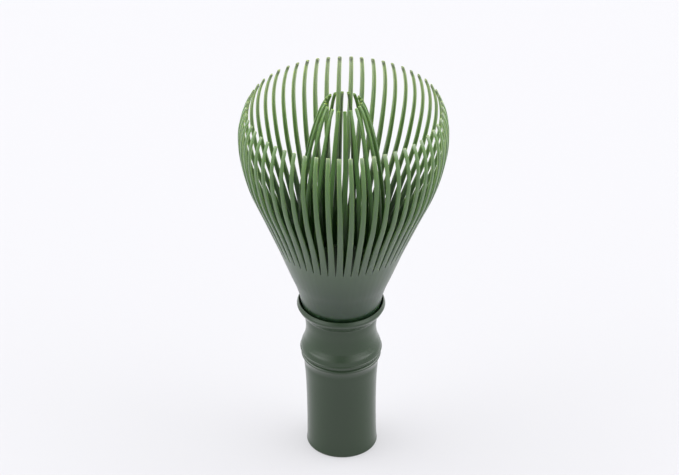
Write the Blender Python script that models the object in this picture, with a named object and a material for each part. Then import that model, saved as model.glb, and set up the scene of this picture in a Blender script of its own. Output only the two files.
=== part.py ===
"""Resin tea whisk (chasen): a bamboo-shaped handle, an outer tine ring and an inner tine ring.

Units are metres. The whisk stands upright on Z = 0 with its axis on the Z axis.
The outer ring is one moulding: spigot, flared cone and 54 curved tines. Its spigot sits in
the handle's socket. The inner ring is a second moulding with 18 tines, whose stem sits in
the bore in the floor of the outer ring's cone.
"""
import math

import bmesh
import bpy
from mathutils import Vector

MM = 0.001

# ---- Driving dimensions, in millimetres ----
INNER_TIP_HEIGHT = 115.0      # tine ends, before their rounding
OUTER_TIP_HEIGHT = 113.4
SLOT_HEIGHT = 69.1            # where the outer ring splits into tines

FOOT_RADIUS = 10.25
TUBE_RADIUS = 10.00
NODE_RADIUS = 11.75
NODE_HEIGHT = 33.1
NECK_RADIUS = 10.06
NECK_HEIGHT = 40.2
LIP_RADIUS = 12.62
HANDLE_TOP = 49.2

HANDLE_WALL = 1.8
WEB_LOW = 27.5                # the closed node between the grip and the socket
WEB_HIGH = 31.0
SOCKET_RADIUS = 8.3
LIP_INNER_RADIUS = 11.85

FIT_GAP = 0.3                 # clearance between separate pieces
SPIGOT_RADIUS = SOCKET_RADIUS - FIT_GAP
SPIGOT_WALL = 2.0
SPIGOT_LOW = WEB_HIGH + 1.6
CONE_LIP_RADIUS = 11.4        # outside of the cone level with the handle's lip
CONE_TOP_RADIUS = 18.25
CONE_WALL = 1.3
FLOOR_LOW = 46.4
FLOOR_HIGH = 50.5

STEM_RADIUS = 3.0
STEM_LOW = 44.2
HUB_RADIUS = 4.6
HUB_LOW = FLOOR_HIGH + FIT_GAP

OUTER_TINES = 54
OUTER_FIRST_ANGLE = math.radians(93.7)
OUTER_ROOT_WIDTH = 1.90
OUTER_TIP_WIDTH = 1.12
OUTER_ROOT_DEPTH = 1.05
OUTER_TIP_DEPTH = 0.64
OUTER_STATIONS = 7

INNER_TINES = 18
INNER_FIRST_ANGLE = math.radians(94.3)
INNER_SLOT_HEIGHT = 61.5
INNER_ROOT_WIDTH = 1.70
INNER_TIP_WIDTH = 1.00
INNER_ROOT_DEPTH = 1.25
INNER_TIP_DEPTH = 0.80
INNER_STATIONS = 8

TINE_TAPER = 0.42             # width of a tine's inner face over its outer face, past its root
TINE_TIP_LENGTH = 0.5         # the rounded-off end of a tine
TINE_TIP_NARROWING = 0.62     # a tine's section at its very end over its section before the rounding
HANDLE_SEGMENTS = 60

# Outside of the outer ring, (radius, height): cone from the lip up, then the tines.
CONE_OUTLINE = [
    (CONE_LIP_RADIUS, HANDLE_TOP),
    (12.05, 52.2),
    (13.10, 55.6),
    (14.45, 59.0),
    (16.15, 63.5),
    (CONE_TOP_RADIUS, SLOT_HEIGHT),
]
OUTER_TINE_OUTLINE = [
    (CONE_TOP_RADIUS, SLOT_HEIGHT),
    (22.45, 79.4),
    (26.60, 89.6),
    (28.70, 98.7),
    (29.05, 105.0),
    (28.25, 109.9),
    (26.95, OUTER_TIP_HEIGHT),
]
# Outside of the inner ring's tines, (radius, height).
INNER_TINE_OUTLINE = [
    (9.60, INNER_SLOT_HEIGHT),
    (11.45, 69.0),
    (12.20, 77.5),
    (11.90, 86.2),
    (10.70, 95.3),
    (8.90, 104.2),
    (6.85, 111.4),
    (5.30, INNER_TIP_HEIGHT),
]


def clear_scene():
    for item in list(bpy.data.objects):
        bpy.data.objects.remove(item, do_unlink=True)


def plastic(name, colour, roughness):
    material = bpy.data.materials.new(name)
    material.use_nodes = True
    shader = material.node_tree.nodes["Principled BSDF"]
    shader.inputs["Base Color"].default_value = (*colour, 1.0)
    shader.inputs["Roughness"].default_value = roughness
    shader.inputs["Metallic"].default_value = 0.0
    return material


def hermite(points, position):
    """Point at a fractional index on the Catmull-Rom curve through (radius, height) points."""
    last = len(points) - 1
    index = min(int(position), last - 1)
    t = position - index
    p1, p2 = Vector(points[index]), Vector(points[index + 1])
    p0 = Vector(points[index - 1]) if index > 0 else 2 * p1 - p2
    p3 = Vector(points[index + 2]) if index + 2 <= last else 2 * p2 - p1
    m1, m2 = (p2 - p0) / 2, (p3 - p1) / 2
    h1 = 2 * t**3 - 3 * t**2 + 1
    h2 = -2 * t**3 + 3 * t**2
    return h1 * p1 + h2 * p2 + (t**3 - 2 * t**2 + t) * m1 + (t**3 - t**2) * m2


def arc(centre_radius, centre_height, size, start, end, steps):
    """Points on an arc of a profile; angles in degrees, 0 outwards and 90 up."""
    points = []
    for i in range(steps + 1):
        angle = math.radians(start + (end - start) * i / steps)
        points.append((centre_radius + size * math.cos(angle),
                       centre_height + size * math.sin(angle)))
    return points


def finish_object(name, bm, material):
    bmesh.ops.recalc_face_normals(bm, faces=bm.faces[:])
    mesh = bpy.data.meshes.new(name)
    bm.to_mesh(mesh)
    bm.free()
    mesh.materials.append(material)
    mesh.shade_smooth()
    mesh.set_sharp_from_angle(angle=math.radians(35))
    item = bpy.data.objects.new(name, mesh)
    bpy.context.scene.collection.objects.link(item)
    return item


def turned(name, outline, segments, material):
    """Spin a profile that starts and ends on the axis."""
    bm = bmesh.new()
    verts = [bm.verts.new((r * MM, 0.0, z * MM)) for r, z in outline]
    edges = [bm.edges.new(pair) for pair in zip(verts, verts[1:])]
    bmesh.ops.spin(bm, geom=verts + edges, axis=(0, 0, 1), cent=(0, 0, 0),
                   angle=2 * math.pi, steps=segments, use_duplicate=False)
    bmesh.ops.remove_doubles(bm, verts=bm.verts[:], dist=1e-7)
    return finish_object(name, bm, material)


def handle_outline():
    """Closed profile from the axis under the web, round the foot, up, and into the socket."""
    bore = TUBE_RADIUS - HANDLE_WALL
    foot_round = 0.35
    inside_foot = [(0.0, WEB_LOW), (bore - 1.0, WEB_LOW)]
    inside_foot += arc(bore - 1.0, WEB_LOW - 1.0, 1.0, 90, 0, 2)[1:]
    inside_foot += [(bore, 1.0), (bore + 0.3, 0.0)]
    foot = arc(FOOT_RADIUS - foot_round, foot_round, foot_round, -90, 0, 2)
    tube = [
        (TUBE_RADIUS + 0.06, 2.5),
        (TUBE_RADIUS, 9.0),
        (TUBE_RADIUS + 0.05, 16.0),
        (TUBE_RADIUS + 0.25, 22.7),
        (TUBE_RADIUS + 0.60, 27.4),
    ]
    lower_ridge = [(10.68, 28.7), (10.90, 29.5)] + arc(10.97, 31.0, 0.48, -45, 60, 2)
    upper_ridge = [(11.24, 31.9)] + arc(NODE_RADIUS - 0.5, NODE_HEIGHT, 0.5, -40, 30, 2)
    cove = [
        (11.44, 33.8),
        (10.91, 35.1),
        (10.32, 37.4),
        (NECK_RADIUS, NECK_HEIGHT),
        (10.33, 43.3),
        (10.45, 44.6),
    ]
    lip = [(10.75, 45.2), (11.68, 46.2)]
    lip += arc(LIP_RADIUS - 0.8, 48.0, 0.8, -55, 25, 3)
    lip += arc(LIP_INNER_RADIUS + 0.28, HANDLE_TOP - 0.28, 0.28, 60, 180, 2)
    socket = [(11.55, 48.0), (10.75, 46.6), (9.25, 44.6), (SOCKET_RADIUS, 42.9)]
    socket += [(SOCKET_RADIUS, WEB_HIGH + 0.8), (SOCKET_RADIUS - 0.8, WEB_HIGH), (0.0, WEB_HIGH)]
    return inside_foot + foot + tube + lower_ridge + upper_ridge + cove + lip + socket


def offset_inwards(points, start_gap, end_gap):
    """Points moved towards the axis side by a gap that changes evenly along the curve."""
    moved = []
    for i, point in enumerate(points):
        before, after = points[max(i - 1, 0)], points[min(i + 1, len(points) - 1)]
        run, rise = after[0] - before[0], after[1] - before[1]
        length = math.hypot(run, rise)
        gap = start_gap + (end_gap - start_gap) * i / (len(points) - 1)
        moved.append((point[0] - gap * rise / length, point[1] + gap * run / length))
    return moved


def tine_stations(outline, count):
    """Centre-line points of a tine's outer face, from its root to its rounded tip."""
    last = len(outline) - 1
    stations = [tuple(hermite(outline, last * i / count)) for i in range(count + 1)]
    end, before = Vector(stations[-1]), Vector(stations[-2])
    shoulder = end + (before - end).normalized() * TINE_TIP_LENGTH
    return stations[:-1] + [tuple(shoulder), stations[-1]]


def tine_ring(name, body_outside, body_inside, outline, tines, material):
    """One moulding: a turned body whose rim carries a ring of curved tines.

    body_outside and body_inside run from the bottom to the rim. Columns of vertices stand at
    the two edges of every tine, so that the rim splits into tine roots and slot floors.
    """
    count = tines["count"]
    stations = tine_stations(outline, tines["stations"])
    outer_faces = stations[1:]
    shifted = offset_inwards(stations, tines["root_depth"], tines["tip_depth"])
    inner_faces = shifted[1:]
    root_half = tines["root_width"] / 2 / body_outside[-1][0]
    centres = [tines["first_angle"] + 2 * math.pi * k / count for k in range(count)]
    columns = [c + s * root_half for c in centres for s in (-1, 1)]

    bm = bmesh.new()

    def ring(radius, height):
        if radius < 1e-6:
            return [bm.verts.new((0.0, 0.0, height * MM))] * len(columns)
        return [bm.verts.new((radius * MM * math.cos(a), radius * MM * math.sin(a), height * MM))
                for a in columns]

    def bridge(low, high):
        for k in range(len(columns)):
            n = (k + 1) % len(columns)
            corners = []
            for vert in (low[k], low[n], high[n], high[k]):
                if vert not in corners:
                    corners.append(vert)
            bm.faces.new(corners)

    outside = [ring(*point) for point in body_outside]
    inside = [ring(*point) for point in body_inside]
    for wall in (outside, inside):
        for low, high in zip(wall, wall[1:]):
            bridge(low, high)
    if body_outside[0][0] > 1e-6 and body_inside[0][0] > 1e-6:
        bridge(inside[0], outside[0])

    rim_out, rim_in = outside[-1], inside[-1]
    for k, centre in enumerate(centres):
        left, right = 2 * k, 2 * k + 1
        after = (right + 1) % len(columns)
        bm.faces.new((rim_out[right], rim_out[after], rim_in[after], rim_in[right]))
        section = [rim_out[left], rim_out[right], rim_in[right], rim_in[left]]
        along = Vector((math.cos(centre), math.sin(centre), 0.0))
        across = Vector((-math.sin(centre), math.cos(centre), 0.0))
        for i, (out, inn) in enumerate(zip(outer_faces, inner_faces)):
            share = (i + 1) / len(outer_faces)
            half = (tines["root_width"] * (1 - share) + tines["tip_width"] * share) / 2
            taper = 1 + (TINE_TAPER - 1) * min(1.0, 3 * share)
            if i == len(outer_faces) - 1:
                half *= TINE_TIP_NARROWING
                middle = (Vector(out) + Vector(inn)) / 2
                out = middle + (Vector(out) - middle) * TINE_TIP_NARROWING
                inn = middle + (Vector(inn) - middle) * TINE_TIP_NARROWING
            corners = ((out, -half), (out, half), (inn, half * taper), (inn, -half * taper))
            fresh = []
            for (radius, height), side in corners:
                place = (along * radius + across * side + Vector((0, 0, height))) * MM
                fresh.append(bm.verts.new(place))
            for a in range(4):
                b = (a + 1) % 4
                bm.faces.new((section[a], section[b], fresh[b], fresh[a]))
            section = fresh
        bm.faces.new(section)
    return finish_object(name, bm, material)


def build_handle(material):
    return turned("handle", handle_outline(), HANDLE_SEGMENTS, material)


def build_outer_brush(material):
    spigot_bore = SPIGOT_RADIUS - SPIGOT_WALL
    body_outside = [
        (SPIGOT_RADIUS - 0.5, SPIGOT_LOW),
        (SPIGOT_RADIUS, SPIGOT_LOW + 0.8),
        (SPIGOT_RADIUS, 43.1),
        (8.85, 44.7),
        (10.35, 46.8),
        (11.15, 48.1),
    ] + CONE_OUTLINE
    stem_bore = STEM_RADIUS + FIT_GAP
    cone_inside = offset_inwards(CONE_OUTLINE, CONE_WALL + 0.3, CONE_WALL)
    body_inside = [
        (spigot_bore, SPIGOT_LOW),
        (spigot_bore, FLOOR_LOW),
        (stem_bore, FLOOR_LOW),
        (stem_bore, FLOOR_HIGH),
        (9.0, FLOOR_HIGH),
    ] + cone_inside[1:-1] + [(CONE_TOP_RADIUS - OUTER_ROOT_DEPTH, SLOT_HEIGHT)]
    tines = {"count": OUTER_TINES, "first_angle": OUTER_FIRST_ANGLE, "stations": OUTER_STATIONS,
             "root_width": OUTER_ROOT_WIDTH, "tip_width": OUTER_TIP_WIDTH,
             "root_depth": OUTER_ROOT_DEPTH, "tip_depth": OUTER_TIP_DEPTH}
    return tine_ring("outer_brush", body_outside, body_inside, OUTER_TINE_OUTLINE, tines, material)


def build_inner_brush(material):
    rim = INNER_TINE_OUTLINE[0][0]
    body_outside = [
        (0.0, STEM_LOW),
        (STEM_RADIUS - 0.5, STEM_LOW),
        (STEM_RADIUS, STEM_LOW + 0.6),
        (STEM_RADIUS, HUB_LOW),
        (HUB_RADIUS, HUB_LOW),
        (HUB_RADIUS, HUB_LOW + 2.0),
        (5.4, 54.6),
        (7.2, 57.2),
        (8.7, 59.6),
        (rim, INNER_SLOT_HEIGHT),
    ]
    body_inside = [
        (0.0, 55.6),
        (3.6, 56.0),
        (5.9, 57.7),
        (7.4, 59.8),
        (rim - INNER_ROOT_DEPTH, INNER_SLOT_HEIGHT),
    ]
    tines = {"count": INNER_TINES, "first_angle": INNER_FIRST_ANGLE, "stations": INNER_STATIONS,
             "root_width": INNER_ROOT_WIDTH, "tip_width": INNER_TIP_WIDTH,
             "root_depth": INNER_ROOT_DEPTH, "tip_depth": INNER_TIP_DEPTH}
    return tine_ring("inner_brush", body_outside, body_inside, INNER_TINE_OUTLINE, tines, material)


def main():
    clear_scene()
    build_handle(plastic("handle_green", (0.045, 0.075, 0.045), 0.42))
    build_outer_brush(plastic("outer_green", (0.065, 0.125, 0.050), 0.42))
    build_inner_brush(plastic("inner_green", (0.060, 0.120, 0.045), 0.42))


main()
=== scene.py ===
"""Looks of the resin tea whisk: fine meshes for the three mouldings, studio floor, light and camera.

The handle is turned from its outline. Each tine ring is a turned body whose rim carries a ring of
curved tines. Lengths are in millimetres until a vertex is made.
"""
import math
import random

import bmesh
import bpy
from mathutils import Matrix, Vector


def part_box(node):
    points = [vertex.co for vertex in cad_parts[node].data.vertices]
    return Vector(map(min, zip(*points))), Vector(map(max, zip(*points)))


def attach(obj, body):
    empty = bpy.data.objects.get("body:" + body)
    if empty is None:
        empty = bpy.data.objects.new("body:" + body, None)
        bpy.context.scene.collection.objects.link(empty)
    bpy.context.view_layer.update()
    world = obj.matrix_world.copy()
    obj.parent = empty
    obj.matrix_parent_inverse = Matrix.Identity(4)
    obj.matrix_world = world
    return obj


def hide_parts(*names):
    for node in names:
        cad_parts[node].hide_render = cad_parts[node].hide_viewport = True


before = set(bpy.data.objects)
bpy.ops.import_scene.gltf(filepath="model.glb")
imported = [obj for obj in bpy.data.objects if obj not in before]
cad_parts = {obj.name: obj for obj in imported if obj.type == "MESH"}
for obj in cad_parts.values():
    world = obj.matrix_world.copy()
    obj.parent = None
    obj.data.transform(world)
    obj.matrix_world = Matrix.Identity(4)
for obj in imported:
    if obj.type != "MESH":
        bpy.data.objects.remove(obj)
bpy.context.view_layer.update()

MM = 0.001

# ---- Profile sizes, in millimetres; the outline is the CAD one with its curves drawn finer ----
HANDLE_LOW, HANDLE_HIGH = (corner.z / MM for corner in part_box("handle"))
FOOT_RADIUS = 10.25
TUBE_RADIUS = 10.00
NODE_RADIUS = 11.75
NODE_HEIGHT = 33.1
NECK_RADIUS = 10.06
NECK_HEIGHT = 40.2
LIP_RADIUS = 12.62
HANDLE_WALL = 1.8
WEB_LOW = 27.5
WEB_HIGH = 31.0
SOCKET_RADIUS = 8.3
LIP_INNER_RADIUS = 11.85

SPIGOT_RADIUS = 8.0
SPIGOT_WALL = 2.0
SPIGOT_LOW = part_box("outer_brush")[0].z / MM
CONE_LIP_RADIUS = 11.4
CONE_TOP_RADIUS = 18.25
CONE_WALL = 1.3
FLOOR_LOW = 46.4
FLOOR_HIGH = 50.5
SLOT_HEIGHT = 69.1

STEM_RADIUS = 3.0
STEM_BORE = 3.3
STEM_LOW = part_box("inner_brush")[0].z / MM
HUB_RADIUS = 4.6
HUB_LOW = 50.8

# ---- Tine details, in millimetres where they are lengths ----
TINE_TAPER = 0.42             # width of a tine's inside face over its outside face, past its root
TAPER_PACE = 3                # the taper is complete after 1/3 of the tine's length
TIP_LENGTH = 0.28             # the rounded-off end of a tine
TIP_STEPS = (1.0, 0.55, 0.25, 0.08, 0.0)  # stations in the rounded end, as shares of its length
TIP_KEEP = 0.82               # share of its section that a tine keeps at its very end
TIP_DIMPLE = 0.35             # depth of the sink mark in a tine's end
DIMPLE_EDGE, DIMPLE_FLOOR = 0.66, 0.50    # sizes of the sink mark over the size of the end
EDGE_ROUND = 0.28             # radius of a tine's outside edges
EDGE_RAMP = 0.10              # share of a tine's length over which its edges become round
ROUND_OF_WIDTH, ROUND_OF_DEPTH = 0.6, 0.45  # the largest that the radius gets in a small section
INSIDE_ROUND = 0.6            # radius of the inside edges over that of the outside ones
ROOT_SPREAD = (-1.0, -0.9, -0.75, 0.75, 0.9, 1.0)  # columns across a root, in half widths

# ---- Small irregularities of a moulding that has been used ----
BOW_CENTRE = 60.0             # height round which the whisk's axis bows to -X
BOW_LOW, BOW_RATE = 0.24, 0.00016  # how far it bows there, and its curvature above and below
SPLAY_ANGLE = math.radians(202)  # round this side the outer tines close in less and end lower
SPLAY_OUT, SPLAY_DOWN = 0.36, 0.85
JITTER = 0.16                 # how far a tine's tip may be off its place

# ---- Outsides of the tine rings, (radius, height) in millimetres ----
CONE_OUTLINE = [
    (CONE_LIP_RADIUS, HANDLE_HIGH),
    (12.05, 52.2),
    (13.10, 55.6),
    (14.45, 59.0),
    (16.15, 63.5),
    (CONE_TOP_RADIUS, SLOT_HEIGHT),
]
OUTER_TINE_OUTLINE = [
    (CONE_TOP_RADIUS, SLOT_HEIGHT),
    (22.45, 79.4),
    (26.60, 89.6),
    (28.70, 98.7),
    (29.05, 105.0),
    (28.25, 109.9),
    (26.95, 113.4),
]
INNER_TINE_OUTLINE = [
    (9.60, 61.5),
    (11.45, 69.0),
    (12.20, 77.5),
    (11.90, 86.2),
    (10.70, 95.3),
    (8.90, 104.2),
    (6.85, 111.4),
    (5.30, 115.0),
]
# twist turns a tine round the axis over its length. lean_x moves its tip to +X, and sag_x moves the
# middle of the tines at the front and back to +X.
OUTER_TINES = {"count": 54, "first_angle": math.radians(95.1), "stations": 30,
               "root_width": 1.90, "tip_width": 1.12, "root_depth": 1.05, "tip_depth": 0.64,
               "slot_columns": 0, "splay": 1.0, "twist": math.radians(-1.6),
               "lean_x": 0.24, "sag_x": 0.52, "seed": 7}
INNER_TINES = {"count": 18, "first_angle": math.radians(94.3), "stations": 34,
               "root_width": 1.70, "tip_width": 1.00, "root_depth": 1.25, "tip_depth": 0.80,
               "slot_columns": 2, "splay": 0.0, "twist": 0.0,
               "lean_x": -0.26, "sag_x": 0.0, "seed": 11}

# ---- Finish: colours are (height in millimetres, colour) stops; how they change with height and between outside and inside faces is painted light and painted shade ----
HANDLE_COLOURS = [(0.0, (0.010, 0.025, 0.008)), (50.0, (0.011, 0.029, 0.009))]
# Painted light: the outside faces get lighter up the tines, standing in for light through the thin
# plastic. The last stop is a painted highlight on the tine ends.
OUTER_COLOURS_PAINTED_LIGHT = [(57.0, (0.014, 0.034, 0.015)), (73.0, (0.044, 0.077, 0.038)),
                 (90.0, (0.049, 0.096, 0.034)), (104.0, (0.060, 0.120, 0.036)),
                 (111.5, (0.090, 0.170, 0.050)), (113.0, (0.190, 0.250, 0.160))]
# Painted shade deep in the whisk low down, painted light of the backlit thin tines higher up, and
# painted shade on the tine ends.
OUTER_INSIDE_PAINTED_LIGHT_AND_SHADE = [(74.0, (0.009, 0.034, 0.004)), (95.0, (0.165, 0.290, 0.085)),
                      (111.0, (0.480, 0.550, 0.370)), (112.6, (0.180, 0.200, 0.160))]
# Painted shade: the inner tines are darker low down, where they sit in the shade inside the whisk.
INNER_COLOURS_PAINTED_SHADE = [(80.0, (0.010, 0.030, 0.005)), (97.0, (0.042, 0.110, 0.018)),
                 (112.0, (0.085, 0.165, 0.042))]
# Painted shade: the inside faces of the inner ring get darker towards the root.
INNER_INSIDE_PAINTED_SHADE = [(76.0, (0.010, 0.026, 0.006)), (115.0, (0.110, 0.150, 0.070))]
# outside colours the faces that look away from the whisk's axis, inside those that look towards it;
# both hold painted shade and painted light as well as the resin's colour.
# glow is the share of light that passes under the surface.
HANDLE_FINISH = {"outside": HANDLE_COLOURS, "inside": HANDLE_COLOURS,
                 "roughness": 0.22, "ior": 1.57, "glow": 0.0}
OUTER_FINISH = {"outside": OUTER_COLOURS_PAINTED_LIGHT, "inside": OUTER_INSIDE_PAINTED_LIGHT_AND_SHADE,
                "roughness": 0.30, "ior": 1.54, "glow": 0.45}
INNER_FINISH = {"outside": INNER_COLOURS_PAINTED_SHADE, "inside": INNER_INSIDE_PAINTED_SHADE,
                "roughness": 0.30, "ior": 1.50, "glow": 0.60}
INWARD_FROM, INWARD_TO = -0.4, -0.75  # cosines to the outward direction between which they blend
GLOW_RADIUS = (0.9, 1.0, 0.35)
GLOW_DEPTH = 0.0016           # metres
MOTTLE_SCALE, GRAIN_SCALE, TEXTURE_SCALE = 55.0, 900.0, 3200.0
MOTTLE_DARK, MOTTLE_LIGHT = (0.92, 0.93, 0.92, 1.0), (1.06, 1.05, 1.06, 1.0)
GRAIN_LOW, GRAIN_HIGH = -0.02, 0.03  # what the grain adds to the roughness
TEXTURE_STRENGTH, TEXTURE_DEPTH = 0.03, 0.00003
NOISE_LOW, NOISE_HIGH = 0.3, 0.7     # the part of the noise that is used

# ---- Stage ----
FLOOR_HALF_SIDE = 6.0         # metres
FLOOR_COLOUR = (0.29, 0.288, 0.299, 1.0)
FLOOR_ROUGHNESS = 0.9
FLOOR_GLOW_COLOUR = (0.985, 0.975, 1.0, 1.0)
FLOOR_GLOW = 0.385

STUDIO_COLOUR = (0.98, 0.99, 1.0, 1.0)
DIM_GLOW = 0.55               # radiance of the studio straight above and in front
SIDE_GLOW = 3.0               # added at the left and right
REAR_GLOW = 1.0               # added at the back
SUNS = [("key_left", (-0.9, 0.1, 0.7), 1.15), ("key_right", (0.9, 0.15, 0.7), 1.05),
        ("back", (0.0, 1.0, 0.9), 0.5)]    # name, direction to the light, strength
SUN_WIDTH = math.radians(60)

# The camera looks from straight in front, 33.6 degrees down.
CAMERA_ELEVATION = math.radians(33.62)
CAMERA_DISTANCE = 0.9512      # metres
AIM_HEIGHT = 0.0701           # metres
CAMERA_LENS = 179.0
CAMERA_ROLL = 0.0078
CAMERA_SHIFT = -0.0042


# ---- Curves ----
def hermite(points, position):
    """Point at a fractional index on the Catmull-Rom curve through (radius, height) points."""
    last = len(points) - 1
    index = min(int(position), last - 1)
    t = position - index
    p1, p2 = Vector(points[index]), Vector(points[index + 1])
    p0 = Vector(points[index - 1]) if index > 0 else 2 * p1 - p2
    p3 = Vector(points[index + 2]) if index + 2 <= last else 2 * p2 - p1
    m1, m2 = (p2 - p0) / 2, (p3 - p1) / 2
    h1 = 2 * t**3 - 3 * t**2 + 1
    h2 = -2 * t**3 + 3 * t**2
    return h1 * p1 + h2 * p2 + (t**3 - 2 * t**2 + t) * m1 + (t**3 - t**2) * m2


def curve(points, steps):
    """The Catmull-Rom curve through the points, with the given steps between two of them."""
    count = (len(points) - 1) * steps
    return [tuple(hermite(points, i / steps)) for i in range(count + 1)]


def arc(centre_radius, centre_height, size, start, end, steps):
    """Points on an arc of an outline; angles in degrees, 0 outwards and 90 up."""
    points = []
    for i in range(steps + 1):
        angle = math.radians(start + (end - start) * i / steps)
        points.append((centre_radius + size * math.cos(angle),
                       centre_height + size * math.sin(angle)))
    return points


def offset_inwards(points, start_gap, end_gap):
    """Points moved towards the axis side by a gap that changes evenly along the curve."""
    moved = []
    for i, point in enumerate(points):
        before, after = points[max(i - 1, 0)], points[min(i + 1, len(points) - 1)]
        run, rise = after[0] - before[0], after[1] - before[1]
        length = math.hypot(run, rise)
        gap = start_gap + (end_gap - start_gap) * i / (len(points) - 1)
        moved.append((point[0] - gap * rise / length, point[1] + gap * run / length))
    return moved


def handle_outline():
    """From the axis under the web, round the foot, up the outside and into the socket."""
    bore = TUBE_RADIUS - HANDLE_WALL
    foot_round = 0.35
    inside_foot = [(0.0, WEB_LOW), (bore - 1.0, WEB_LOW)]
    inside_foot += arc(bore - 1.0, WEB_LOW - 1.0, 1.0, 90, 0, 6)[1:]
    inside_foot += [(bore, 1.0), (bore + 0.3, 0.0)]
    foot = arc(FOOT_RADIUS - foot_round, foot_round, foot_round, -90, 0, 6)
    tube = curve([
        (FOOT_RADIUS, foot_round),
        (TUBE_RADIUS + 0.06, 2.5),
        (TUBE_RADIUS, 9.0),
        (TUBE_RADIUS + 0.05, 16.0),
        (TUBE_RADIUS + 0.25, 22.7),
        (TUBE_RADIUS + 0.60, 27.4),
    ], 6)[1:]
    lower_ridge = curve([(10.60, 27.9), (10.68, 28.7), (10.90, 29.5)], 3)[1:]
    lower_ridge += arc(10.97, 31.0, 0.48, -45, 75, 10)
    upper_ridge = [(11.10, 31.75)]
    upper_ridge += arc(NODE_RADIUS - 0.26, NODE_HEIGHT - 0.10, 0.26, -40, 72, 10)
    cove = curve([
        (11.53, 33.40),
        (11.46, 34.05),
        (11.26, 34.75),
        (10.90, 35.65),
        (10.36, 37.4),
        (NECK_RADIUS, NECK_HEIGHT),
        (10.33, 43.3),
        (10.45, 44.6),
    ], 6)
    lip = curve([(10.45, 44.6), (10.75, 45.2), (11.20, 45.7), (11.68, 46.2),
                 (12.12, 46.8)], 3)[1:]
    lip += arc(LIP_RADIUS - 0.8, 48.0, 0.8, -25, 25, 8)
    lip += arc(LIP_INNER_RADIUS + 0.28, HANDLE_HIGH - 0.28, 0.28, 60, 180, 8)
    socket = [(11.55, 48.0), (10.75, 46.6), (9.25, 44.6), (SOCKET_RADIUS, 42.9)]
    socket += [(SOCKET_RADIUS, WEB_HIGH + 0.8), (SOCKET_RADIUS - 0.8, WEB_HIGH), (0.0, WEB_HIGH)]
    return inside_foot + foot + tube + lower_ridge + upper_ridge + cove + lip + socket


# ---- Meshes ----
def finish_piece(name, bm, sharp=38):
    """Bow the piece with the whisk's axis and link it, with edges sharper than the angle kept."""
    for vert in bm.verts:
        vert.co.x += (BOW_RATE * (vert.co.z / MM - BOW_CENTRE) ** 2 - BOW_LOW) * MM
    bmesh.ops.recalc_face_normals(bm, faces=bm.faces[:])
    mesh = bpy.data.meshes.new(name)
    bm.to_mesh(mesh)
    bm.free()
    mesh.shade_smooth()
    mesh.set_sharp_from_angle(angle=math.radians(sharp))
    item = bpy.data.objects.new(name, mesh)
    bpy.context.scene.collection.objects.link(item)
    return item


def turned(name, outline, segments):
    """Spin an outline that starts and ends on the axis."""
    bm = bmesh.new()
    verts = [bm.verts.new((r * MM, 0.0, z * MM)) for r, z in outline]
    edges = [bm.edges.new(pair) for pair in zip(verts, verts[1:])]
    bmesh.ops.spin(bm, geom=verts + edges, axis=(0, 0, 1), cent=(0, 0, 0),
                   angle=2 * math.pi, steps=segments, use_duplicate=False)
    bmesh.ops.remove_doubles(bm, verts=bm.verts[:], dist=1e-7)
    return finish_piece(name, bm)


def tine_stations(outline, count):
    """(radius, height) points along a tine's outside face, closer together at the rounded tip."""
    last = len(outline) - 1
    stations = [tuple(hermite(outline, last * i / count)) for i in range(count + 1)]
    end, before = Vector(stations[-1]), Vector(stations[-2])
    back = (before - end).normalized()
    tip = [tuple(end + back * TIP_LENGTH * share) for share in TIP_STEPS]
    while (Vector(stations[-1]) - end).length < TIP_LENGTH * 1.2:
        stations.pop()
    return stations + tip


def tine_path(outline, tines):
    """Stations past a tine's root: outside point, inside point, share of its length, way to go."""
    outside = tine_stations(outline, tines["stations"])
    inside = offset_inwards(outside, tines["root_depth"], tines["tip_depth"])
    lengths = [0.0]
    for a, b in zip(outside, outside[1:]):
        lengths.append(lengths[-1] + (Vector(b) - Vector(a)).length)
    total = lengths[-1]
    return [(Vector(out), Vector(inn), length / total, total - length)
            for out, inn, length in zip(outside, inside, lengths)][1:]


def tip_narrowing(distance):
    """How much of its full section a tine keeps near its end: a round nose."""
    if distance >= TIP_LENGTH:
        return 1.0
    fall = 1 - distance / TIP_LENGTH
    return TIP_KEEP + (1 - TIP_KEEP) * math.sqrt(max(0.0, 1 - fall * fall))


def section_points(half, inside_half, depth, rounding):
    """A tine's section as (across, inwards) points with rounded corners, twelve in all."""
    size = min(rounding, half * ROUND_OF_WIDTH, depth * ROUND_OF_DEPTH)
    small = size * INSIDE_ROUND
    corner = 1 - math.sqrt(0.5)
    out = [(-half, size), (-half + size * corner, size * corner), (-half + size, 0.0)]
    inn = [(inside_half - small, depth), (inside_half - small * corner, depth - small * corner),
           (inside_half, depth - small)]
    return out + [(-x, y) for x, y in reversed(out)] + inn[::-1] + [(-x, y) for x, y in inn]


def directions(angle):
    """Unit vectors away from the axis at an angle, and across a tine that stands there."""
    return (Vector((math.cos(angle), math.sin(angle), 0.0)),
            Vector((-math.sin(angle), math.cos(angle), 0.0)))


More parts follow.
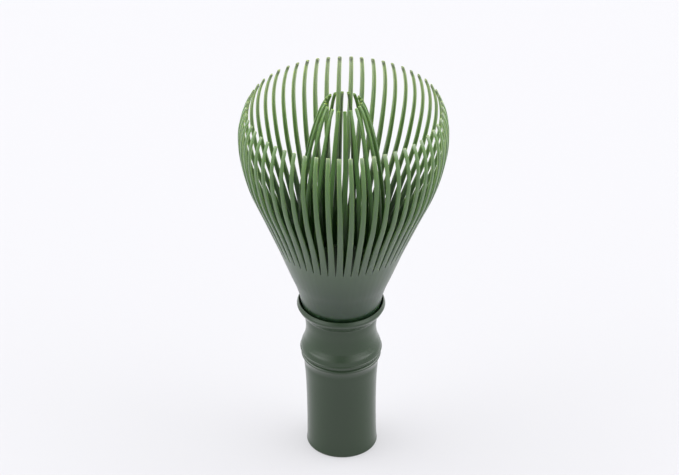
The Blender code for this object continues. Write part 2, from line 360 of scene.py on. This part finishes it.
def tine_section(tines, station, centre, sway, lean):
    """Places of a tine's section at one station; sway and lean are how far its own tip strays."""
    out, inn, share, to_tip = station
    keep = tip_narrowing(to_tip)
    half = (tines["root_width"] * (1 - share) + tines["tip_width"] * share) / 2
    taper = 1 + (TINE_TAPER - 1) * min(1.0, TAPER_PACE * share)
    depth = (inn - out).length
    inward = (inn - out).normalized()
    rounding = EDGE_ROUND * min(1.0, share / EDGE_RAMP)
    bend = share * share
    splay = tines["splay"] * max(0.0, math.cos(centre - SPLAY_ANGLE)) ** 2
    sag = tines["sag_x"] * math.sin(centre) ** 2
    aside = tines["lean_x"] * bend + sag * 4 * (share - bend)
    along, across = directions(centre + tines["twist"] * share)
    places = []
    for side, deep in section_points(half, half * taper, depth, rounding):
        deep = depth / 2 + (deep - depth / 2) * keep
        radius = out.x + inward.x * deep + (lean + SPLAY_OUT * splay * share) * bend
        height = out.y + inward.y * deep - SPLAY_DOWN * splay * share * bend
        place = along * radius + across * (side * keep + sway * bend)
        places.append((place + Vector((aside, 0, height))) * MM)
    return places


def close_tip(bm, rim, heading):
    """End face of a tine: a flat rim round a shallow sink mark. heading points out of the end."""
    centre = sum((vert.co for vert in rim), Vector()) / len(rim)
    loop = rim
    for keep, depth in ((DIMPLE_EDGE, 0.0), (DIMPLE_FLOOR, TIP_DIMPLE * MM)):
        inset = [bm.verts.new(centre + (vert.co - centre) * keep - heading * depth) for vert in rim]
        join_loops(bm, loop, inset)
        loop = inset
    bm.faces.new(loop)


def join_loops(bm, low, high):
    """Faces between two closed loops; corners that are the same vertex count once."""
    for a in range(len(low)):
        b = (a + 1) % len(low)
        bm.faces.new(list(dict.fromkeys((low[a], low[b], high[b], high[a]))))


def ring_of_verts(bm, angles, radius, height):
    if radius < 1e-6:
        return [bm.verts.new((0.0, 0.0, height * MM))] * len(angles)
    return [bm.verts.new((radius * MM * math.cos(a), radius * MM * math.sin(a), height * MM))
            for a in angles]


def rim_angles(tines, rim_radius):
    """Angles of the columns of vertices round the rim: across each tine's root, then its slot."""
    pitch = 2 * math.pi / tines["count"]
    half_root = tines["root_width"] / 2
    slots = tines["slot_columns"]
    angles = []
    for k in range(tines["count"]):
        centre = tines["first_angle"] + pitch * k
        angles += [centre + s * half_root / rim_radius for s in ROOT_SPREAD]
        free = pitch - 2 * half_root / rim_radius
        start = centre + half_root / rim_radius
        angles += [start + free * (j + 1) / (slots + 1) for j in range(slots)]
    return angles


def tine_ring(name, body_outside, body_inside, outline, tines):
    """One moulding: a turned body whose rim carries a ring of round-edged curved tines."""
    rng = random.Random(tines["seed"])
    angles = rim_angles(tines, body_outside[-1][0])
    path = tine_path(outline, tines)

    bm = bmesh.new()
    outside = [ring_of_verts(bm, angles, *point) for point in body_outside]
    inside = [ring_of_verts(bm, angles, *point) for point in body_inside]
    for wall in (outside, inside):
        for low, high in zip(wall, wall[1:]):
            join_loops(bm, low, high)
    if body_outside[0][0] > 1e-6 and body_inside[0][0] > 1e-6:
        join_loops(bm, inside[0], outside[0])

    root = len(ROOT_SPREAD)
    per_pitch = root + tines["slot_columns"]
    end_run, end_rise = Vector(outline[-1]) - Vector(outline[-2])
    for k in range(tines["count"]):
        columns = [(k * per_pitch + i) % len(angles) for i in range(per_pitch + 1)]
        edge, back = ([wall[-1][column] for column in columns] for wall in (outside, inside))
        for i in range(root - 1, per_pitch):
            bm.faces.new((edge[i], edge[i + 1], back[i + 1], back[i]))
        centre = tines["first_angle"] + 2 * math.pi / tines["count"] * k
        sway = rng.uniform(-JITTER, JITTER)
        lean = rng.uniform(0.0, JITTER)
        section = edge[:root] + back[root - 1::-1]
        for station in path:
            fresh = [bm.verts.new(place)
                     for place in tine_section(tines, station, centre, sway, lean)]
            join_loops(bm, section, fresh)
            section = fresh
        along = directions(centre + tines["twist"])[0]
        close_tip(bm, section, (along * end_run + Vector((0, 0, end_rise))).normalized())
    return finish_piece(name, bm)


def outer_brush():
    cone = curve(CONE_OUTLINE, 6)
    spigot_bore = SPIGOT_RADIUS - SPIGOT_WALL
    body_outside = [
        (SPIGOT_RADIUS - 0.5, SPIGOT_LOW),
        (SPIGOT_RADIUS, SPIGOT_LOW + 0.8),
        (SPIGOT_RADIUS, 43.1),
        (8.85, 44.7),
        (10.35, 46.8),
        (11.15, 48.1),
    ] + cone
    body_inside = [
        (spigot_bore, SPIGOT_LOW),
        (spigot_bore, FLOOR_LOW),
        (STEM_BORE, FLOOR_LOW),
        (STEM_BORE, FLOOR_HIGH),
        (9.0, FLOOR_HIGH),
    ]
    body_inside += offset_inwards(cone, CONE_WALL + 0.3, CONE_WALL)[5:-1]
    body_inside.append((cone[-1][0] - OUTER_TINES["root_depth"], SLOT_HEIGHT))
    return tine_ring("outer_tine_ring", body_outside, body_inside, OUTER_TINE_OUTLINE, OUTER_TINES)


def inner_brush():
    rim, rim_height = INNER_TINE_OUTLINE[0]
    body_outside = [
        (0.0, STEM_LOW),
        (STEM_RADIUS - 0.5, STEM_LOW),
        (STEM_RADIUS, STEM_LOW + 0.6),
        (STEM_RADIUS, HUB_LOW),
        (HUB_RADIUS, HUB_LOW),
    ]
    body_outside += curve([(HUB_RADIUS, HUB_LOW + 2.0), (5.4, 54.6), (7.2, 57.2), (8.7, 59.6),
                           (rim, rim_height)], 4)
    body_inside = curve([(0.0, 55.6), (3.6, 56.0), (5.9, 57.7), (7.4, 59.8),
                         (rim - INNER_TINES["root_depth"], rim_height)], 4)
    return tine_ring("inner_tine_ring", body_outside, body_inside, INNER_TINE_OUTLINE, INNER_TINES)


# ---- Materials ----
def node(tree, kind, **sockets):
    made = tree.nodes.new(kind)
    for name, value in sockets.items():
        made.inputs[name.replace("_", " ")].default_value = value
    return made


def noise(tree, coordinates, scale, detail, roughness=0.5):
    made = node(tree, "ShaderNodeTexNoise", Scale=scale, Detail=detail, Roughness=roughness)
    tree.links.new(coordinates, made.inputs["Vector"])
    return made.outputs["Fac"]


def remap(tree, value, low, high, out_low, out_high):
    made = tree.nodes.new("ShaderNodeMapRange")
    for slot_name, number in zip(("From Min", "From Max", "To Min", "To Max"),
                                 (low, high, out_low, out_high)):
        made.inputs[slot_name].default_value = number
    tree.links.new(value, made.inputs["Value"])
    return made.outputs["Result"]


def mix_colours(tree, factor, first, second, blend="MIX"):
    """Mix two colours; each input is a number, a colour or an output to link."""
    made = tree.nodes.new("ShaderNodeMix")
    made.data_type = "RGBA"
    made.blend_type = blend
    for index, value in ((0, factor), (6, first), (7, second)):  # the sockets of an RGBA mix
        if isinstance(value, (tuple, float, int)):
            made.inputs[index].default_value = value
        else:
            tree.links.new(value, made.inputs[index])
    return made.outputs[2]


def inward_share(tree, coordinates):
    """0 on faces that look away from the whisk's axis, 1 on faces that look towards it."""
    level = tree.nodes.new("ShaderNodeVectorMath")
    level.operation = "MULTIPLY"
    level.inputs[1].default_value = (1.0, 1.0, 0.0)
    tree.links.new(coordinates.outputs["Object"], level.inputs[0])
    away = tree.nodes.new("ShaderNodeVectorMath")
    away.operation = "NORMALIZE"
    tree.links.new(level.outputs["Vector"], away.inputs[0])
    facing = tree.nodes.new("ShaderNodeVectorMath")
    facing.operation = "DOT_PRODUCT"
    tree.links.new(away.outputs["Vector"], facing.inputs[0])
    tree.links.new(coordinates.outputs["Normal"], facing.inputs[1])
    return remap(tree, facing.outputs["Value"], INWARD_FROM, INWARD_TO, 0.0, 1.0)


def colour_by_height(tree, height, stops):
    """Blend between (height in millimetres, colour) stops."""
    low, high = stops[0][0], stops[-1][0]
    ramp = tree.nodes.new("ShaderNodeValToRGB")
    elements = ramp.color_ramp.elements
    while len(elements) < len(stops):
        elements.new(0.5)
    for element, (level, colour) in zip(elements, stops):
        element.position = (level - low) / (high - low)
        element.color = (*colour, 1.0)
    tree.links.new(remap(tree, height, low * MM, high * MM, 0.0, 1.0), ramp.inputs["Fac"])
    return ramp.outputs["Color"]


def moulded_plastic(name, outside, inside, roughness, ior, glow):
    """Satin moulded resin, softly mottled, with a fine mould grain; its colour stops carry painted
    shade and painted light.
    """
    material = bpy.data.materials.new(name)
    material.use_nodes = True
    tree = material.node_tree
    shader = tree.nodes["Principled BSDF"]
    coordinates = tree.nodes.new("ShaderNodeTexCoord")
    place = coordinates.outputs["Object"]
    split = tree.nodes.new("ShaderNodeSeparateXYZ")
    tree.links.new(place, split.inputs[0])
    # Colour by height and by face: painted shade low in the whisk and painted light up the tines.
    colour_out, colour_in = (colour_by_height(tree, split.outputs["Z"], stops)
                             for stops in (outside, inside))
    colour = mix_colours(tree, inward_share(tree, coordinates), colour_out, colour_in)
    mottle = remap(tree, noise(tree, place, MOTTLE_SCALE, 3.0), NOISE_LOW, NOISE_HIGH, 0.0, 1.0)
    shade = mix_colours(tree, mottle, MOTTLE_DARK, MOTTLE_LIGHT)
    colour = mix_colours(tree, 1.0, colour, shade, "MULTIPLY")
    tree.links.new(colour, shader.inputs["Base Color"])
    grain = noise(tree, place, GRAIN_SCALE, 4.0, 0.6)
    tree.links.new(remap(tree, grain, NOISE_LOW, NOISE_HIGH, roughness + GRAIN_LOW,
                         roughness + GRAIN_HIGH), shader.inputs["Roughness"])
    bump = node(tree, "ShaderNodeBump", Strength=TEXTURE_STRENGTH, Distance=TEXTURE_DEPTH)
    tree.links.new(noise(tree, place, TEXTURE_SCALE, 3.0, 0.55), bump.inputs["Height"])
    tree.links.new(bump.outputs["Normal"], shader.inputs["Normal"])
    for socket, value in (("IOR", ior), ("Subsurface Weight", glow),
                          ("Subsurface Radius", GLOW_RADIUS), ("Subsurface Scale", GLOW_DEPTH)):
        shader.inputs[socket].default_value = value
    return material


def dress(piece, material, body, cad_node):
    piece.data.materials.clear()
    piece.data.materials.append(material)
    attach(piece, body)
    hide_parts(cad_node)


# ---- Stage ----
def add_floor():
    bm = bmesh.new()
    bmesh.ops.create_grid(bm, x_segments=1, y_segments=1, size=FLOOR_HALF_SIDE)
    mesh = bpy.data.meshes.new("floor")
    bm.to_mesh(mesh)
    bm.free()
    item = bpy.data.objects.new("floor", mesh)
    bpy.context.scene.collection.objects.link(item)
    material = bpy.data.materials.new("floor_white")
    material.use_nodes = True
    shader = material.node_tree.nodes["Principled BSDF"]
    for socket, value in (("Base Color", FLOOR_COLOUR), ("Roughness", FLOOR_ROUGHNESS),
                          ("Specular IOR Level", 0.0), ("Emission Color", FLOOR_GLOW_COLOUR),
                          ("Emission Strength", FLOOR_GLOW)):
        shader.inputs[socket].default_value = value
    mesh.materials.append(material)


def add_sun(name, direction, strength):
    light = bpy.data.lights.new(name, "SUN")
    light.energy = strength
    light.angle = SUN_WIDTH
    item = bpy.data.objects.new(name, light)
    item.rotation_mode = "QUATERNION"
    item.rotation_quaternion = Vector(direction).to_track_quat("Z", "Y")
    bpy.context.scene.collection.objects.link(item)


def add_light():
    """A studio that is brighter at the sides and back, and three broad suns."""
    world = bpy.data.worlds.new("studio")
    world.use_nodes = True
    tree = world.node_tree
    background = tree.nodes["Background"]
    background.inputs["Color"].default_value = STUDIO_COLOUR
    split = tree.nodes.new("ShaderNodeSeparateXYZ")
    tree.links.new(tree.nodes.new("ShaderNodeTexCoord").outputs["Generated"], split.inputs[0])

    def math_node(operation, first, second):
        made = tree.nodes.new("ShaderNodeMath")
        made.operation = operation
        for socket, value in zip(made.inputs, (first, second)):
            if isinstance(value, (int, float)):
                socket.default_value = value
            else:
                tree.links.new(value, socket)
        return made.outputs[0]

    sides = math_node("MULTIPLY", math_node("POWER", split.outputs["X"], 2.0), SIDE_GLOW)
    rear = math_node("MULTIPLY", math_node("MAXIMUM", split.outputs["Y"], 0.0), REAR_GLOW)
    total = math_node("ADD", math_node("ADD", sides, rear), DIM_GLOW)
    tree.links.new(total, background.inputs["Strength"])
    bpy.context.scene.world = world
    for sun in SUNS:
        add_sun(*sun)
    bpy.context.scene.view_settings.view_transform = "Standard"


def add_camera():
    data = bpy.data.cameras.new("camera")
    data.lens = CAMERA_LENS
    data.sensor_width = 36.0
    data.shift_x = CAMERA_SHIFT
    data.clip_start, data.clip_end = 0.05, 30.0
    item = bpy.data.objects.new("camera", data)
    back = Vector((0.0, -math.cos(CAMERA_ELEVATION), math.sin(CAMERA_ELEVATION)))
    aim = Vector((0.0, 0.0, AIM_HEIGHT))
    turn = back.to_track_quat("Z", "Y").to_matrix() @ Matrix.Rotation(CAMERA_ROLL, 3, "Z")
    item.matrix_world = Matrix.Translation(aim + back * CAMERA_DISTANCE) @ turn.to_4x4()
    bpy.context.scene.collection.objects.link(item)
    bpy.context.scene.camera = item


dress(turned("bamboo_handle", handle_outline(), 224),
      moulded_plastic("handle_resin", **HANDLE_FINISH), "handle_body", "handle")
dress(outer_brush(), moulded_plastic("outer_resin", **OUTER_FINISH),
      "outer_body", "outer_brush")
dress(inner_brush(), moulded_plastic("inner_resin", **INNER_FINISH),
      "inner_body", "inner_brush")

add_floor()
add_light()
add_camera()
